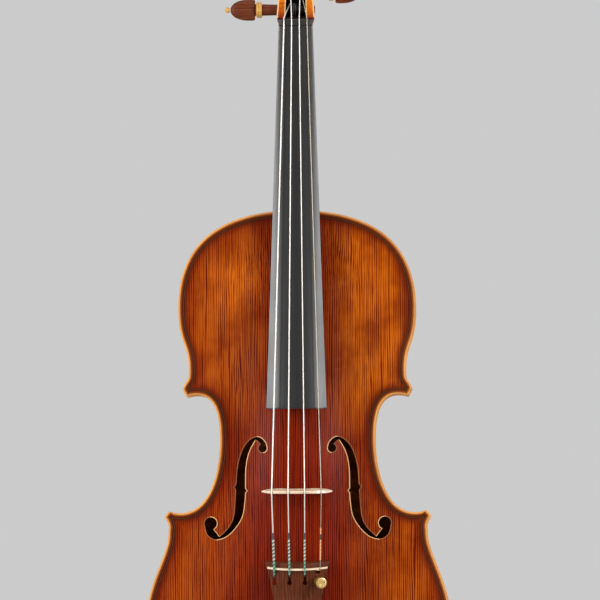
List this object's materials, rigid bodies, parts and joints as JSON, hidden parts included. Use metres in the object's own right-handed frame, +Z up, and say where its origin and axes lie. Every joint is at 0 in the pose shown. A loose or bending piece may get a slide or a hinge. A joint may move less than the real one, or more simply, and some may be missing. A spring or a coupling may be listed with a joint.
{
  "type": "viola",
  "caption": "Bowed string instrument with an arched varnished body, two f-shaped sound holes, ebony fingerboard, turning pegs, tailpiece and a lever fine tuner.",
  "frame": {"origin": "centre of the end button's flat end face, half way through the height of the ribs", "axes": "+Z up the neck to the scroll, -Y out of the front, +X to the treble side"},
  "size_m": [0.2436, 0.1105, 0.6853],
  "materials": {
    "varnished_spruce": "gloss orange-brown oil varnish over fine vertical grain",
    "varnished_maple": "gloss red-brown oil varnish over flamed maple",
    "bare_spruce": "bare planed spruce",
    "bare_willow": "bare planed willow",
    "ebony": "oiled, satin",
    "bridge_maple": "unvarnished, flecked",
    "rosewood": "polished",
    "boxwood": "polished",
    "bone": null,
    "nylon": "satin black",
    "string_wire": "flat wound wire with coloured silk at the ends",
    "gilt_brass": "polished"
  },
  "bodies": {
    "body": {"back_plate": "varnished_maple", "bass_bar": "bare_spruce", "bridge": "bridge_maple", "corner_block_lower_bass": "bare_willow", "corner_block_lower_treble": "bare_willow", "corner_block_upper_bass": "bare_willow", "corner_block_upper_treble": "bare_willow", "end_block": "bare_willow", "end_button": "rosewood", "fingerboard": "ebony", "lining_back_lower_bass": "bare_willow", "lining_back_lower_treble": "bare_willow", "lining_back_upper_bass": "bare_willow", "lining_back_upper_treble": "bare_willow", "lining_back_waist_bass": "bare_willow", "lining_back_waist_treble": "bare_willow", "lining_front_lower_bass": "bare_willow", "lining_front_lower_treble": "bare_willow", "lining_front_upper_bass": "bare_willow", "lining_front_upper_treble": "bare_willow", "lining_front_waist_bass": "bare_willow", "lining_front_waist_treble": "bare_willow", "neck_and_scroll": "varnished_maple", "neck_block": "bare_willow", "nut": "ebony", "rib_lower": "varnished_maple", "rib_upper_bass": "varnished_maple", "rib_upper_treble": "varnished_maple", "rib_waist_bass": "varnished_maple", "rib_waist_treble": "varnished_maple", "saddle": "ebony", "soundpost": "bare_willow", "string_a": "string_wire", "string_c": "string_wire", "string_d": "string_wire", "string_g": "string_wire", "tail_gut": "nylon", "tailpiece": "rosewood", "tailpiece_fret": "bone", "top_plate": "varnished_spruce", "tuner_bracket": "gilt_brass"},
    "peg_c": {"peg_c": "rosewood", "peg_collar_c": "boxwood", "peg_pip_c": "boxwood"},
    "peg_g": {"peg_g": "rosewood", "peg_collar_g": "boxwood", "peg_pip_g": "boxwood"},
    "peg_d": {"peg_d": "rosewood", "peg_collar_d": "boxwood", "peg_pip_d": "boxwood"},
    "peg_a": {"peg_a": "rosewood", "peg_collar_a": "boxwood", "peg_pip_a": "boxwood"},
    "tuner_screw": {"tuner_screw": "gilt_brass", "tuner_knob": "gilt_brass"},
    "tuner_lever": {"tuner_lever": "gilt_brass"}
  },
  "joints": [
    {"name": "peg_c_turn", "type": "hinge", "parent": "body", "child": "peg_c", "pos_m": [0, -0.00768, 0.5796], "axis": [1, 0, 0], "range_deg": [-90, 1080]},
    {"name": "peg_g_turn", "type": "hinge", "parent": "body", "child": "peg_g", "pos_m": [0, 0.00054, 0.607], "axis": [1, 0, 0], "range_deg": [-90, 1080]},
    {"name": "peg_d_turn", "type": "hinge", "parent": "body", "child": "peg_d", "pos_m": [0, 0.00465, 0.6207], "axis": [1, 0, 0], "range_deg": [-90, 1080]},
    {"name": "peg_a_turn", "type": "hinge", "parent": "body", "child": "peg_a", "pos_m": [0, -0.00357, 0.5933], "axis": [1, 0, 0], "range_deg": [-90, 1080]},
    {"name": "tuner_screw_turn", "type": "hinge", "parent": "body", "child": "tuner_screw", "pos_m": [0.0164, -0.05058, 0.1232], "axis": [0.3046, -0.9375, -0.168], "range_deg": [-1440, 0]},
    {"name": "tuner_lever_tilt", "type": "hinge", "parent": "body", "child": "tuner_lever", "pos_m": [0.01348, -0.04324, 0.13407], "axis": [0.9525, 0.2998, 0.0537], "range_deg": [-0.2, 12.5]}
  ],
  "couplings": [
    {"joint": "tuner_lever_tilt", "follows": "tuner_screw_turn", "ratio": -0.0084657}
  ]
}
